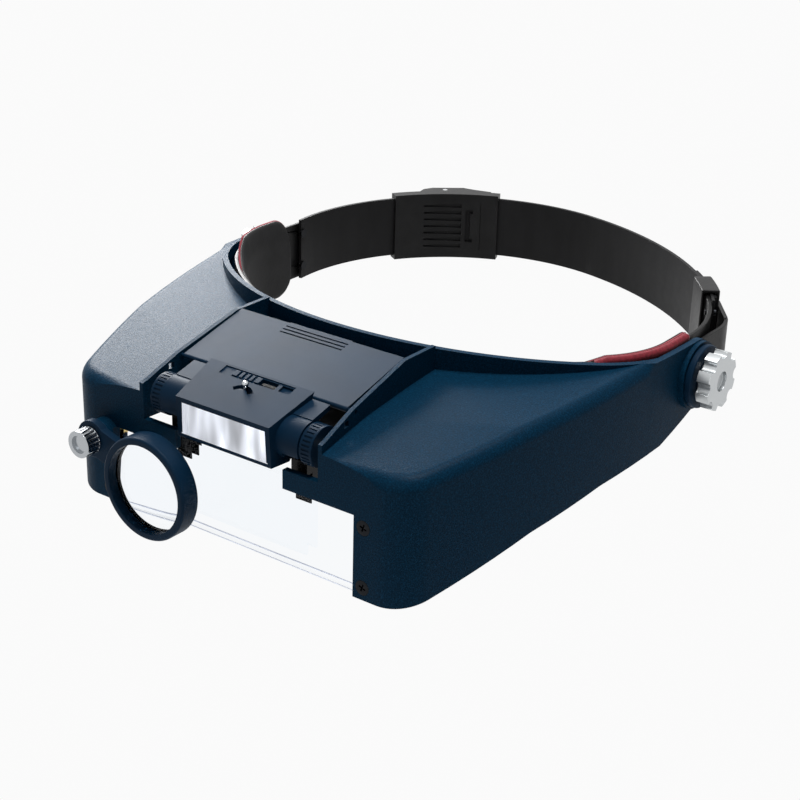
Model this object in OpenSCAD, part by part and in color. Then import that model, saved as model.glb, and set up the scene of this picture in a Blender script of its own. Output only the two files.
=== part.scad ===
// Headband magnifier with a tilting visor, a flip lens, a swing-out loupe and a lamp.
// Sizes in mm. +Z is up, -Y is the wearer's forward direction, +X is the wearer's left.
// The origin is the middle of the tilt axis, which runs through both temples.

/* [Visor] */
// width of the visor over the two temple ears
visor_w = 189; // [188:0.2:190]
// distance from the tilt axis forward to the front face
visor_reach = 130; // [129:0.5:131]
// thickness of the moulded visor wall
wall = 2.3; // [2.1:0.1:2.5]
// lowest point of the front cheeks under the tilt axis
visor_bottom = 44.4; // [44:0.2:46]
// radius of the rounded front corners
corner_r = 14; // [12:1:15]
// radius of each temple ear
ear_r = 12.2; // [12:0.1:12.6]
// height of the brow flange in the middle above the tilt axis
flange_top = 16.1; // [15.8:0.1:16.6]

/* [Window and lenses] */
// half of the clear width of the front window
window_half = 50.2; // [49.4:0.2:51]
// depth of the top edge of the window under the tilt axis
window_top = 15.9; // [15.7:0.1:16.2]
// thickness of the main lens
lens_t = 4.2; // [3.8:0.1:4.4]
// height of the flip-down inner lens
inner_lens_h = 26; // [24:0.5:27]
// thickness of the flip-down inner lens
inner_lens_t = 3.2; // [3:0.1:3.2]

/* [Flip axle and lamp] */
// radius of the rolled front edge of the light head
roll_r = 7.2; // [7:0.1:7.4]
// radius of the flip axle
axle_r = 2; // [1.8:0.1:2.2]
// radius of the knurled finger wheels
wheel_r = 6.8; // [6.5:0.1:6.9]
// half width of the lamp housing at its front
lamp_half = 19.2; // [18.8:0.1:19.4]
// radius of each lamp diode
led_r = 1.9; // [1.6:0.1:2]

/* [Battery box] */
// half width of the battery cover
cover_half = 34.1; // [33.8:0.1:34.3]
// radius of a battery cell
cell_r = 5.25; // [5:0.05:5.25]
// length of a battery cell
cell_len = 44.5; // [43:0.5:45]

/* [Loupe] */
// outside radius of the loupe ring
loupe_r = 17.8; // [17.4:0.1:17.9]
// radius of the clear loupe opening
loupe_hole_r = 15.3; // [15:0.1:15.5]
// reach of the loupe arm from its screw to the middle of the ring
loupe_reach = 27.6; // [27:0.2:28.4]
// radius of the loupe thumb screw
thumb_r = 4.7; // [4.4:0.1:5]

/* [Headband] */
// thickness of the moulded forehead band
band_t = 1.4; // [1.2:0.1:1.5]
// thickness of the foam forehead pad
pad_t = 3.2; // [2.8:0.1:3.6]
// height of the pad under the tilt axis
pad_low = 15; // [14:0.5:16]
// height of the forehead band
band_h = 22.4; // [22:0.2:23]
// height of the rear strap
strap_h = 24.4; // [23:0.2:25]
// thickness of the rear strap
strap_t = 1.2; // [1:0.1:1.4]
// angle that the sliding buckle covers on the rear of the ring
buckle_angle = 35; // [33:1:36]

/* [Temple knobs] */
// outside radius of the star knobs
knob_r = 10.2; // [9.6:0.1:10.4]
// number of lobes on a star knob
knob_lobes = 8; // [6:1:10]
// radius of the clamping bolt
bolt_r = 2.5; // [2.2:0.1:2.6]

/* [Hidden] */
$fn = 96;
run_gap = 0.06;
face_gap = 0.2;
far = 400;

// visor outline: two large side curves, a flat front and round corners
side_r = 340;
side_cx = side_r - visor_w/2;
corner_y = corner_r - visor_reach;
corner_x = sqrt(pow(side_r - corner_r, 2) - pow(corner_y, 2)) - side_cx;
front_in = -visor_reach + wall;
ear_x = visor_w/2;
ear_in = ear_x - wall;
ear_flat = ear_in - 0.2;
washer_t = 0.4;

// roof: a front slope, a flatter rear slope and a level part by the ears
roof_front = [25.2, 10.2, 2.29];
roof_rear = [15.2, 5.71, 0];

// head opening: side circles and one wide front circle that meets them smoothly
brow_side_r = 50;
brow_side = [ear_x + 0.1 - brow_side_r, -5];
brow_front = visor_reach - 56.7;
flange_t = 2;
flange_arc = 1030;
flange_lip = 4.5;

// recess in the roof for the battery box and the light head
rec_rear = cover_half + 0.3;
rec_mid = cover_half + 1.4;
rec_front = cover_half + 2.5;
rec_end = visor_reach - 46.8;
rec_bend = rec_end + 0.8;
rec_crest = 13.4;
rec_wall = 1.5;
wall_top = 0.4;
sill_z = -9.4;
notch_half = lamp_half + 3.2;

// flip axle, shared by the inner lens and the light head
axle_y = -visor_reach + 7;
axle_z = -1.15;
wheel_in = 28.6;
wheel_out = 33.4;
axle_end = rec_front + rec_wall + 0.6;

// sloping deck of cover and light head, measured from the seam between them
deck_y = -visor_reach + 16;
deck_z = 8.65;
deck_slope = 14.71;
cover_len = 30.7;
cover_t = 2;
seam_gap = 0.4;
hinge_r = cover_t/2;
hinge_v = seam_gap + hinge_r;
hinge_w = -hinge_r;
hinge_pin_r = 0.6;

// lamp housing
lamp_top_rear = 10.75;
lamp_top_front = 4.5;
lamp_front_y = -visor_reach - 2.6;
lamp_floor = -9.5;
lamp_wall = 1.6;
swivel = [-0.7, lamp_front_y + 7.7];
aim_r = 4.3;

// battery box
cell_y1 = -visor_reach + 38.5;
cell_y2 = -visor_reach + 27;
cell_z1 = 5.9;
cell_z2 = 3.5;
tray_t = 1.4;
tray_half = rec_rear - 0.1;

// main lens
lens_y = front_in + 0.15;
lens_top = window_top - 2.9;
lens_half = window_half + 8.5;
lens_curve = 400;
inner_curve = 200;
screw_x = window_half + 3.6;
screw_hi = 19.2;
screw_lo = visor_bottom - 4.8;
screw_r = 1.15;
head_r = 2.5;

// loupe
loupe_x = -screw_x;
loupe_z = -screw_hi;
boss_y = -visor_reach - 4;
arm_t = 3;
arm_half = 5.5;
arm_y = boss_y - face_gap - arm_t;
ring_front = -visor_reach - 12;
ring_depth = 7;
loupe_drop = 8.2;
stem_r = 1.6;

// headband front: side circles and one wide front circle, straight at the temples
band_half = ear_flat - washer_t - band_t;
band_side_r = 40;
band_side_y = -10;
band_front = brow_front - 1.7;
band_rear_y = 4;
band_rear_r = 60;
band_top = 12;
pad_top = 17;
pad_mid_top = 10.4;
pad_rear = 3;
pad_round = 8;
pad_tilt = 1.18;
strap_top = 14;
line_t = 0.5;
arm_x = band_half + band_t;

// path of the rear strap: a close arc behind the buckle and a wide arc to the loop
strap_a = [-15, 20];
strap_gap = 0.3;
strap_ra = band_half - band_t - strap_gap + strap_a[0];
strap_join = 78.2;
strap_rb = 130;
strap_b = strap_a - (strap_rb - strap_ra)*[cos(strap_join), sin(strap_join)];

// temple arms: the left one runs on behind the band, the right one follows the strap
arm_bend_r = 20;
arm_bend = [arm_x - arm_bend_r, 24];
arm_bend_end = 36;
arm_tail = 16;
sheet_end = 42;
strap_start = 32.5;
keeper_start = 35.4;
keeper_end = 42.2;

// middle of the buckle on the close arc
buckle_a = 130.4;

// rivets of the temples and the pin of the buckle
rivet_r = 1.2;
rivet_z = -7;
rivet_y = 11.5;
strap_rivets = [-5, 8.4];
rivet_turn = 33;
strap_in = sqrt(pow(strap_ra - strap_t, 2) - pow(strap_a[1] - rivet_y, 2)) - strap_a[0];
ear_t = 2.2;
buckle_rim = 1.6;
lever_y = 3.8;
pin_r = 1;

// places that several pieces share
screw_spots = [[screw_x, screw_hi], [screw_x, screw_lo], [-screw_x, screw_lo]];
tray_front = cell_y2 - cell_r - tray_t - 0.3;
tray_floor = cell_z2 - cell_r - tray_t - 0.2;
lamp_mid = lamp_floor + 7.2;
led_x = 5;
aim_half = 15;
face_off = 3.45;
carrier_y = lens_y + lens_t + 0.6;
ring_x = loupe_x + loupe_reach;
ring_z = loupe_z - loupe_drop;
loupe_span = sqrt(loupe_reach*loupe_reach + loupe_drop*loupe_drop);
thumb_y = arm_y - face_gap;
knob_x0 = ear_x + 4.2;
knob_x1 = knob_x0 + 6;

// which piece to build, or all of them

// puts its children on both sides of the middle plane
module both() {
  children();
  mirror([1, 0, 0]) children();
}

// turns a flat drawing in Y and Z into a solid from x0 to x1
module along_x(x0, x1) {
  translate([x0, 0, 0]) rotate([90, 0, 90]) linear_extrude(x1 - x0) children();
}

// turns a flat drawing in X and Z into a solid from y0 to y1
module along_y(y0, y1) {
  translate([0, y1, 0]) rotate([90, 0, 0]) linear_extrude(y1 - y0) children();
}

// turns a flat drawing in X and Y into a solid from z0 to z1
module along_z(z0, z1) {
  translate([0, 0, z0]) linear_extrude(z1 - z0) children();
}

// round bar along X
module bar_x(r, x0, x1, y = 0, z = 0) {
  translate([x0, y, z]) rotate([0, 90, 0]) cylinder(r = r, h = x1 - x0);
}

// round bar along Y
module bar_y(r, y0, y1, x = 0, z = 0) {
  translate([x, y1, z]) rotate([90, 0, 0]) cylinder(r = r, h = y1 - y0);
}

// box between two corners
module box(a, b) {
  translate(a) cube(b - a);
}

// plan outline of the visor, drawn in by d
module visor_plan(d) {
  reach = sqrt(pow(corner_x + side_cx, 2) + pow(corner_y, 2));
  ux = (corner_x + side_cx)/reach;
  uy = corner_y/reach;
  difference() {
    intersection() {
      translate([-side_cx, 0]) circle(r = side_r - d, $fn = 360);
      translate([side_cx, 0]) circle(r = side_r - d, $fn = 360);
      translate([-far/2, -visor_reach + d]) square([far, visor_reach + 30]);
    }
    for (s = [-1, 1])
      polygon([[s*corner_x, corner_y], [s*corner_x, corner_y - 30],
        [s*(corner_x + 40), corner_y - 30], [s*(corner_x + 40*ux), corner_y + 40*uy]]);
  }
  for (s = [-1, 1]) translate([s*corner_x, corner_y]) circle(r = corner_r - d);
}

// everything under a plane given by its height at the origin, its pitch and its roll
module under_plane(p, d) {
  translate([0, 0, p[0] - d]) rotate([p[1], p[2], 0])
    translate([-far, -far, -far]) cube([2*far, 2*far, far]);
}

// everything under the sloping roof, lowered by d
module under_right(d) {
  intersection() {
    under_plane(roof_front, d);
    under_plane(roof_rear, d);
    translate([0, -far, -far]) cube([far, 2*far, 2*far]);
  }
}

module under_roof(d) {
  under_right(d);
  mirror([1, 0, 0]) under_right(d);
}

// side outline of the visor in Y and Z
module visor_side() {
  p = [-20, -19.8];
  reach = norm(p);
  // the outline meets the round ear just inside its edge
  r = ear_r - 0.1;
  a = atan2(p[1], p[0]) + acos(r/reach);
  polygon([[-visor_reach - 10, r], [-visor_reach - 10, -visor_bottom],
    [-visor_reach - 2, -visor_bottom], [46.2 - visor_reach, -29.6], [-52.7, -23.2],
    p, [r*cos(a), r*sin(a)], [0, 0], [0, r]]);
  circle(r = ear_r);
}

// middle of the wide front circle that meets both side circles smoothly
function front_mid(side, r, f) =
  (side[0]*side[0] + side[1]*side[1] - pow(f - r, 2))/(2*(f - r + side[1]));

// plan with a side circle on both sides and one wide front circle, open to the rear
module oval_plan(side, r, f, d) {
  c = front_mid(side, r, f);
  u = 2*far*[side[0], side[1] - c]/norm([side[0], side[1] - c]);
  intersection() {
    translate([0, c]) circle(r = c + f + d, $fn = 360);
    polygon([[0, c], [-u[0], c + u[1]], [u[0], c + u[1]]]);
  }
  for (s = [-1, 1]) translate([s*side[0], side[1]]) circle(r = r + d, $fn = 180);
  translate([-side[0] - r - d, side[1]]) square([2*(side[0] + r + d), far]);
}

// plan of the head opening, drawn out by d
module brow_plan(d) {
  oval_plan(brow_side, brow_side_r, brow_front, d);
}

// plan of the recess in the roof, widened by d, from the given rear end
module recess_plan(d, rear) {
  x0 = rec_rear + d;
  x1 = rec_mid + d;
  x2 = rec_front + d;
  y2 = -visor_reach - 5;
  polygon([[-x0, -rear], [x0, -rear], [x0, -rec_bend], [x1, deck_y], [x2, y2],
    [-x2, y2], [-x1, deck_y], [-x0, -rec_bend]]);
}

// the deck frame: X as before, Y up the slope from the seam, Z off the deck
module on_deck() {
  translate([0, deck_y, deck_z]) rotate([deck_slope, 0, 0]) children();
}

// ring of the forehead band in plan between two offsets, up to the temples
module band_front_ring(d0, d1, y1) {
  intersection() {
    difference() {
      oval_plan([band_half - band_side_r, band_side_y], band_side_r, band_front, d1);
      oval_plan([band_half - band_side_r, band_side_y], band_side_r, band_front, d0);
    }
    translate([-far, -far]) square([2*far, far + y1]);
  }
}

// part of a ring about a middle point, between two angles
module ring_part(mid, r0, r1, a0, a1) {
  translate(mid) intersection() {
    difference() {
      circle(r = r1, $fn = 360);
      circle(r = r0, $fn = 360);
    }
    polygon([[0, 0], for (i = [0:6]) 2*r1*[cos(a0 + (a1 - a0)*i/6), sin(a0 + (a1 - a0)*i/6)]]);
  }
}

module forehead_band() {
  mid = [band_half - band_rear_r, band_rear_y];
  color("#151515") difference() {
    intersection() {
      along_z(band_top - band_h, strap_top) union() {
        band_front_ring(-band_t, 0, band_rear_y);
        ring_part(mid, band_rear_r - band_t, band_rear_r, 0, sheet_end);
        translate([-band_half, band_rear_y]) square([band_t, 10.3]);
      }
      // the ends taper to the height of the strap
      along_x(-far/2, far/2) polygon([[-far/2, band_top], [22, band_top], [48, strap_top],
        [70, strap_top], [70, strap_top - strap_h], [48, strap_top - strap_h],
        [22, band_top - band_h], [-far/2, band_top - band_h]]);
    }
    bar_x(bolt_r + run_gap, -far/2, far/2);
    // vent slots across the forehead
    for (i = [-2:2]) translate([i*18, 0, band_top - band_h/2])
      box([-5, -far/2, -2], [5, -40, 2]);
    bar_x(rivet_r, -far/2, far/2, -9, rivet_z);
    for (z = strap_rivets) {
      bar_x(rivet_r, -far/2, 0, rivet_y, z);
      left_rivet(rivet_r, 1, z);
    }
  }
}

// rivet hole or shank through the strap end on the left side
module left_rivet(r, reach, z) {
  translate([band_half - band_rear_r, band_rear_y, z]) rotate([0, 0, rivet_turn])
    bar_x(r, band_rear_r - band_t - reach, band_rear_r + strap_t + 0.9);
}

// side outline of the pad and its lining, drawn in by d: low in front, tall at the temples
module pad_side(d) {
  r = pad_round - d;
  yc = pad_rear - pad_round;
  polygon([[-far, d - pad_low], [yc, d - pad_low], [yc, pad_top - d], [-28, pad_top - d],
    [-44, pad_mid_top - d], [-far, pad_mid_top - d]]);
  translate([yc - 1, pad_round - pad_low]) square([pad_round + 1 - d, pad_top + pad_low - 2*pad_round]);
  for (z = [pad_round - pad_low, pad_top - pad_round]) translate([yc, z]) circle(r = r);
}

// soft layer round the forehead between two depths, higher on the wearer's right
module pad_layer(d0, d1, d) {
  intersection() {
    along_z(-pad_low - 2, pad_top + 2) band_front_ring(d0, d1, band_rear_y);
    along_x(-far/2, far/2) pad_side(d);
    translate([0, 0, pad_top - 1.75 - d]) rotate([0, pad_tilt, 0])
      translate([-far, -far, -far]) cube([2*far, 2*far, far]);
  }
}

module forehead_pad() {
  color("#7e232c") difference() {
    pad_layer(-band_t - pad_t, -band_t, 0);
    both() {
      bar_x(5.2, band_half - band_t - 2, band_half);
      bar_x(2, band_half - band_t - 1, band_half, -9, rivet_z);
    }
  }
}

module pad_lining() {
  color("#101010") pad_layer(-band_t - pad_t - line_t, -band_t - pad_t, 0.4);
}

// side outline of a temple arm
module arm_side(y1) {
  polygon([[-14, -8], [-14, 6], [-12, 8.9], [y1, 8.9], [y1, -10], [20, -10.4], [-12, -10.4]]);
}

module temple_arms() {
  color("#141414") difference() {
    union() {
      // left arm, which leaves a gap beside the band and ends on the keeper
      intersection() {
        along_z(-20, 20) union() {
          translate([arm_x - band_t, -14]) square([band_t, arm_bend[1] + 14]);
          ring_part(arm_bend, arm_bend_r - band_t, arm_bend_r, 0, arm_bend_end);
          translate(arm_bend) rotate(arm_bend_end) translate([arm_bend_r - band_t, 0])
            square([band_t, arm_tail]);
        }
        along_x(0, far) arm_side(70);
      }
      // right arm, which follows the strap
      intersection() {
        along_z(-20, 20) union() {
          translate([-arm_x, -14]) square([band_t, strap_a[1] + 14]);
          ring_part(strap_a, arm_x + strap_a[0] - band_t, arm_x + strap_a[0], 155, 180);
        }
        along_x(-far, 0) arm_side(70);
      }
    }
    bar_x(bolt_r + run_gap, -far/2, far/2);
    bar_x(rivet_r, -far/2, far/2, -9, rivet_z);
    for (z = strap_rivets) bar_x(rivet_r, -far/2, 0, rivet_y, z);
  }
}

// rivets that hold arms and straps to the band
module temple_rivets() {
  color("#1c1c1c") {
    both() {
      bar_x(rivet_r, band_half - band_t - 0.6, arm_x, -9, rivet_z);
      bar_x(1.7, band_half - band_t - 0.8, band_half - band_t, -9, rivet_z);
    }
    for (z = strap_rivets) {
      bar_x(rivet_r, -arm_x, 0.4 - strap_in, rivet_y, z);
      bar_x(1.7, 0.1 - strap_in, 0.7 - strap_in, rivet_y, z);
      left_rivet(rivet_r, 0.5, z);
    }
  }
}

// strap on its close arc between two angles, between two offsets from its outer face
module close_arc(d0, d1, a0, a1) {
  ring_part(strap_a, strap_ra + d0, strap_ra + d1, a0, a1);
}

module wide_arc(d0, d1, a0, a1) {
  ring_part(strap_b, strap_rb + d0, strap_rb + d1, a0, a1);
}

module rear_strap_left() {
  color("#1a1a1a") difference() {
    union() {
      along_z(strap_top - strap_h, strap_top) union() {
        close_arc(-strap_t, 0, strap_join, buckle_a);
        wide_arc(-strap_t, 0, strap_start, strap_join);
      }
      // the free end lies on the outside, under the keeper
      along_z(strap_top - strap_h + 0.4, strap_top - 0.4)
        wide_arc(-0.2, strap_t, keeper_start - 1, keeper_end + 5);
    }
    // the end lies against the outside of the band
    along_z(-far/2, far/2) translate([band_half - band_rear_r, band_rear_y])
      circle(r = band_rear_r + 0.05, $fn = 360);
    for (z = strap_rivets) left_rivet(rivet_r, 1, z);
  }
}

module rear_strap_right() {
  color("#181818") difference() {
    along_z(strap_top - strap_h, strap_top) close_arc(-strap_t, 0, buckle_a + 3, 187.6);
    for (z = strap_rivets) bar_x(rivet_r, -far/2, 0, rivet_y, z);
  }
}

module strap_keeper() {
  color("#2a2a2a") difference() {
    along_z(strap_top - strap_h - 1.4, strap_top + 1.4)
      wide_arc(-strap_t - band_t - 1.4, strap_t + 1.4, keeper_start, keeper_end);
    along_z(strap_top - strap_h - 0.2, strap_top + 0.2)
      wide_arc(-strap_t - band_t - 0.5, strap_t + 0.2, keeper_start - 4, keeper_end + 4);
  }
}

// the buckle frame: Y away from the head, X along the strap, middle at half strap height
module at_buckle() {
  translate([strap_a[0], strap_a[1], strap_top - strap_h/2]) rotate([0, 0, buckle_a - 90])
    translate([0, strap_ra, 0]) children();
}

module buckle_arc(d0, d1, cut) {
  translate([0, -strap_ra]) ring_part([0, 0], strap_ra + d0, strap_ra + d1,
    90 - buckle_angle/2 - cut, 90 + buckle_angle/2 + cut);
}

module buckle_body() {
  h = strap_h/2 + buckle_rim;
  color("#202020") at_buckle() difference() {
    union() {
      along_z(-h, h) buckle_arc(-2.6, 2, 0);
      // raised ears that hold the lever pin
      for (z = [-h, h - ear_t]) translate([0, 0, z]) linear_extrude(ear_t)
        polygon([[-12, -1], [-9, 4.6], [-5, 6.6], [8, 6.6], [12, 4], [19, 0.6], [19, -2]]);
    }
    // channel for the two straps
    along_z(-strap_h/2 - face_gap, strap_h/2 + face_gap) buckle_arc(-strap_t - face_gap, face_gap, 5);
    // tapered grip grooves on the face towards the head
    for (i = [-3:3]) translate([-1.5, -2.6, i*2.9])
      rotate([90, 0, 0]) linear_extrude(1.2, center = true)
        polygon([[-8, -0.35], [8, -0.9], [8, 0.9], [-8, 0.35]]);
    // slots round the spring tab and a step near the end
    box([8.2, -3.5, -7], [10.2, -0.5, 7]);
    for (z = [-7, 5.4]) box([8.2, -3.5, z], [13.4, -0.5, z + 1.6]);
    translate([16.8, -3.2, 0]) cube([5, 1.8, strap_h - 4], center = true);
    // opening under the lever
    box([-9.5, 0, -h + ear_t], [12, 12, h - ear_t]);
    translate([0, lever_y, 0]) cylinder(r = pin_r + run_gap, h = far, center = true);
  }
}

module buckle_lever() {
  h = strap_h/2 + buckle_rim - ear_t - face_gap;
  color("#242424") at_buckle() difference() {
    along_z(-h, h) union() {
      translate([0, lever_y]) circle(r = 2.4);
      polygon([[-0.4, lever_y + 2.3], [0, 1.6], [10.5, 1.8], [12.6, 2.8], [18, 2.8], [19, 4],
        [13.5, 5.2], [8.6, 6.4]]);
    }
    translate([0, lever_y, 0]) cylinder(r = pin_r + run_gap, h = far, center = true);
  }
}

module buckle_pin() {
  color("#b9bcc0") at_buckle() translate([0, lever_y, 0])
    cylinder(r = pin_r, h = strap_h + 2*buckle_rim, center = true);
}

// nuts held behind the band, one at each temple
module temple_nuts() {
  color("#a9adb2") both() difference() {
    bar_x(4.6, band_half - band_t - 1.4, band_half - band_t);
    bar_x(bolt_r + run_gap, 0, far/2);
  }
}

module temple_washers() {
  color("#0d0d0d") both() difference() {
    bar_x(8.6, arm_x, ear_flat);
    bar_x(bolt_r + run_gap, 0, far/2);
  }
}

module visor_body() {
  intersection() {
    along_z(-visor_bottom - 20, 60) visor_plan(0);
    under_roof(0);
    along_x(-far/2, far/2) visor_side();
  }
}

// side outline of the raised walls round the battery box
module wall_side() {
  on_z = deck_z + wall_top;
  rise = tan(deck_slope);
  crest = flange_top + 0.3;
  polygon([[-40, sill_z], [-40, crest], [deck_y + (crest - on_z)/rise, crest],
    [deck_y, on_z], [-visor_reach + 2, deck_z - 5], [-visor_reach - 10, deck_z - 7.6],
    [-visor_reach - 10, sill_z]]);
}

module visor_shell() {
  color("#14263c") difference() {
    union() {
      difference() {
        visor_body();
        // hollow inside, open below and behind
        intersection() {
          along_z(-visor_bottom - 30, 60) visor_plan(wall);
          under_roof(wall);
        }
      }
      // brow flange with its lip under the roof
      difference() {
        intersection() {
          along_z(-20, 40) intersection() {
            brow_plan(flange_t);
            visor_plan(wall/2);
            translate([-far/2, -far]) square([far, far - 14]);
          }
          along_y(-100, 10) polygon([[-96, -30],
            for (x = [-96:6:96]) [x, flange_top - x*x/(2*flange_arc)], [96, -30]]);
        }
        under_roof(flange_lip);
      }
      // raised walls round the battery box, down to the sill
      intersection() {
        difference() {
          along_z(sill_z, 40) difference() {
            recess_plan(rec_wall, brow_front - 3.7);
            recess_plan(0, rec_end);
            translate([-rec_rear, rec_wall - rec_end]) square([2*rec_rear, far]);
          }
          box([-rec_rear, -rec_end - 1, rec_crest], [rec_rear, 0, 60]);
        }
        along_x(-far/2, far/2) wall_side();
        along_z(-60, 60) visor_plan(0);
      }
      // gussets between the flange and the roof behind the cover
      both() for (x = [30.7, 32.9]) along_x(x, x + 0.8)
        translate([0, 2.6 - brow_front]) polygon([[0, 5], [0, 14.8], [-1.2, 14.8], [-2.6, 12],
          [-5, 9.4], [-8.6, 7], [-8.6, 5]]);
      // bosses that carry the axle
      intersection() {
        both() bar_x(3.4, rec_front, axle_end + 1.2, axle_y, axle_z);
        under_roof(0.3);
      }
      // flat round ears and the boss of the loupe
      both() bar_x(ear_r - 0.4, ear_flat, ear_x + 1.6);
      bar_y(5.6, boss_y, front_in, loupe_x, loupe_z);
    }
    // head opening
    along_z(-visor_bottom - 30, 60) intersection() {
      brow_plan(0);
      visor_plan(wall);
      translate([-ear_flat, -far/2]) square([2*ear_flat, far]);
    }
    // recess through the roof and down to the sill at the front
    along_z(sill_z, 60) recess_plan(0, rec_end);
    // notch for the lamp and the front window
    box([-notch_half, -visor_reach - 8, -window_top - 1], [notch_half, front_in + 1, 60]);
    box([-window_half, -visor_reach - 2, -visor_bottom - 5], [window_half, front_in + 1, -window_top]);
    // small latch notches in the raised walls
    both() translate([rec_front, -visor_reach + 12.8, 5.6]) cube([5, 2.4, 2], center = true);
    // axle bores and hinge bores of the battery cover
    bar_x(axle_r + run_gap, -axle_end, axle_end, axle_y, axle_z);
    on_deck() bar_x(hinge_pin_r + run_gap, -far/2, far/2, hinge_v, hinge_w);
    // bolt bores in the ears
    bar_x(bolt_r + run_gap, -far/2, far/2);
    // countersunk lens screw holes and the loupe bore
    for (p = screw_spots) {
      bar_y(screw_r + run_gap, -visor_reach - 3, front_in + 2, p[0], -p[1]);
      translate([p[0], -visor_reach - 0.01, -p[1]]) rotate([-90, 0, 0])
        cylinder(r1 = head_r + 0.15, r2 = screw_r + run_gap, h = 1.5);
    }
    bar_y(stem_r + run_gap, boss_y - 1, front_in + 2, loupe_x, loupe_z);
  }
}

module ear_rings() {
  color("#101e30") both() difference() {
    bar_x(11, ear_x + 1.7, ear_x + 4);
    bar_x(bolt_r + run_gap, 0, far/2);
  }
}

module main_lens() {
  color("#e8eef2", 0.35) difference() {
    union() {
      // plano-convex optic with a flat front
      intersection() {
        box([-window_half + 0.5, lens_y, -visor_bottom + 0.6],
          [window_half - 0.5, lens_y + lens_t, -lens_top]);
        translate([0, lens_y + lens_t - lens_curve, -(lens_top + visor_bottom)/2]) sphere(r = lens_curve, $fn = 720);
      }
      // thin mounting tabs behind the cheeks
      box([-lens_half, lens_y, -visor_bottom + 0.6], [lens_half, lens_y + 2.2, -window_top + 0.6]);
    }
    for (p = screw_spots) bar_y(screw_r + run_gap, lens_y - 1, lens_y + 4, p[0], -p[1]);
    bar_y(stem_r + run_gap, lens_y - 1, lens_y + 4, loupe_x, loupe_z);
  }
}

module lens_screws() {
  color("#16181b") for (p = screw_spots) difference() {
    union() {
      bar_y(screw_r, -visor_reach + 0.2, lens_y + 5, p[0], -p[1]);
      translate([p[0], -visor_reach + 0.04, -p[1]]) rotate([-90, 0, 0])
        cylinder(r1 = head_r, r2 = screw_r, h = 1.45);
    }
    // cross recess
    translate([p[0], -visor_reach, -p[1]]) for (a = [0, 90]) rotate([0, a + 20, 0])
      cube([2.6, 1.6, 0.6], center = true);
  }
}

module lens_retainers() {
  color("#121d2c") both() difference() {
    box([window_half + 0.4, lens_y + 2.25, -visor_bottom + 1.5],
      [lens_half, lens_y + 4, -window_top + 0.4]);
    bar_y(screw_r + 0.02, lens_y, lens_y + 8, screw_x, -screw_hi);
    bar_y(screw_r + 0.02, lens_y, lens_y + 8, screw_x, -screw_lo);
    bar_y(stem_r + 1.8, lens_y, lens_y + 8, screw_x, -screw_hi);
  }
}

module battery_tray() {
  color("#121c29") difference() {
    intersection() {
      box([-tray_half, tray_front, tray_floor], [tray_half, -rec_end - 0.1, 30]);
      translate([0, 0, -face_gap]) on_deck() box([-60, -30, -60], [60, 60, -cover_t]);
      along_z(-20, 40) recess_plan(-0.1, 60);
    }
    // one trough for each cell, open at the top
    for (c = [[cell_y1, cell_z1], [cell_y2, cell_z2]]) {
      bar_x(cell_r + 0.25, -cell_len/2 - 3.4, cell_len/2 + 3.4, c[0], c[1]);
      box([-cell_len/2 - 3.4, c[0] - cell_r - 0.25, c[1]], [cell_len/2 + 3.4, c[0] + cell_r + 0.25, 40]);
    }
    // lightening pockets beside the cells
    both() box([cell_len/2 + 5, tray_front + 1.4, tray_floor + 1.4],
      [tray_half - 1.4, -rec_end - 1.6, 40]);
  }
}

module battery_cells() {
  color("#b8a25a") for (c = [[cell_y1, cell_z1, 1], [cell_y2, cell_z2, -1]]) {
    bar_x(cell_r, -cell_len/2 + 1, cell_len/2 - 1, c[0], c[1]);
    bar_x(1.9, c[2] > 0 ? 0 : -cell_len/2, c[2] > 0 ? cell_len/2 : 0, c[0], c[1]);
  }
}

module battery_contacts() {
  color("#c9ccd0") for (c = [[cell_y1, cell_z1, 1], [cell_y2, cell_z2, -1]]) {
    // flat plate at the button end
    x0 = c[2]*(cell_len/2 + 0.1);
    box([min(x0, x0 + c[2]*0.5), c[0] - 3.6, c[1] - 3.6], [max(x0, x0 + c[2]*0.5), c[0] + 3.6, c[1] + 3.6]);
    // coiled end drawn as stacked rings on a plate
    for (i = [0:2]) translate([-c[2]*(cell_len/2 - 0.6 + i*1.1), c[0], c[1]]) rotate([0, 90, 0])
      rotate_extrude() translate([2 + i*0.5, 0]) circle(r = 0.4, $fn = 16);
    x1 = -c[2]*(cell_len/2 + 2.3);
    box([min(x1, x1 - c[2]*0.5), c[0] - 3.6, c[1] - 3.6], [max(x1, x1 - c[2]*0.5), c[0] + 3.6, c[1] + 3.6]);
  }
}

module battery_cover() {
  grip_half = 13;
  groove = 0.6;
  color("#15273d") on_deck() difference() {
    union() {
      box([-cover_half, hinge_v, -cover_t], [cover_half, cover_len, 0]);
      // full round front edge with the two hinge stubs
      bar_x(hinge_r, -cover_half, cover_half, hinge_v, hinge_w);
      bar_x(hinge_pin_r, -rec_mid - 0.9, rec_mid + 0.9, hinge_v, hinge_w);
      // stiffening ribs inside
      both() box([cell_len/2 + 6.4, 6, -3.6], [cell_len/2 + 7.6, cover_len - 6, -1]);
      // lip of the thumb grip
      box([-grip_half, cover_len - 1, -cover_t + 0.2], [grip_half, cover_len + 0.6, -0.2]);
    }
    // fine grooves along the rear edge
    for (i = [0:2]) translate([0, cover_len - 1.6 - 1.7*i, 0])
      box([-grip_half, -groove, -groove], [grip_half, 0, 1]);
  }
}

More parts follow.
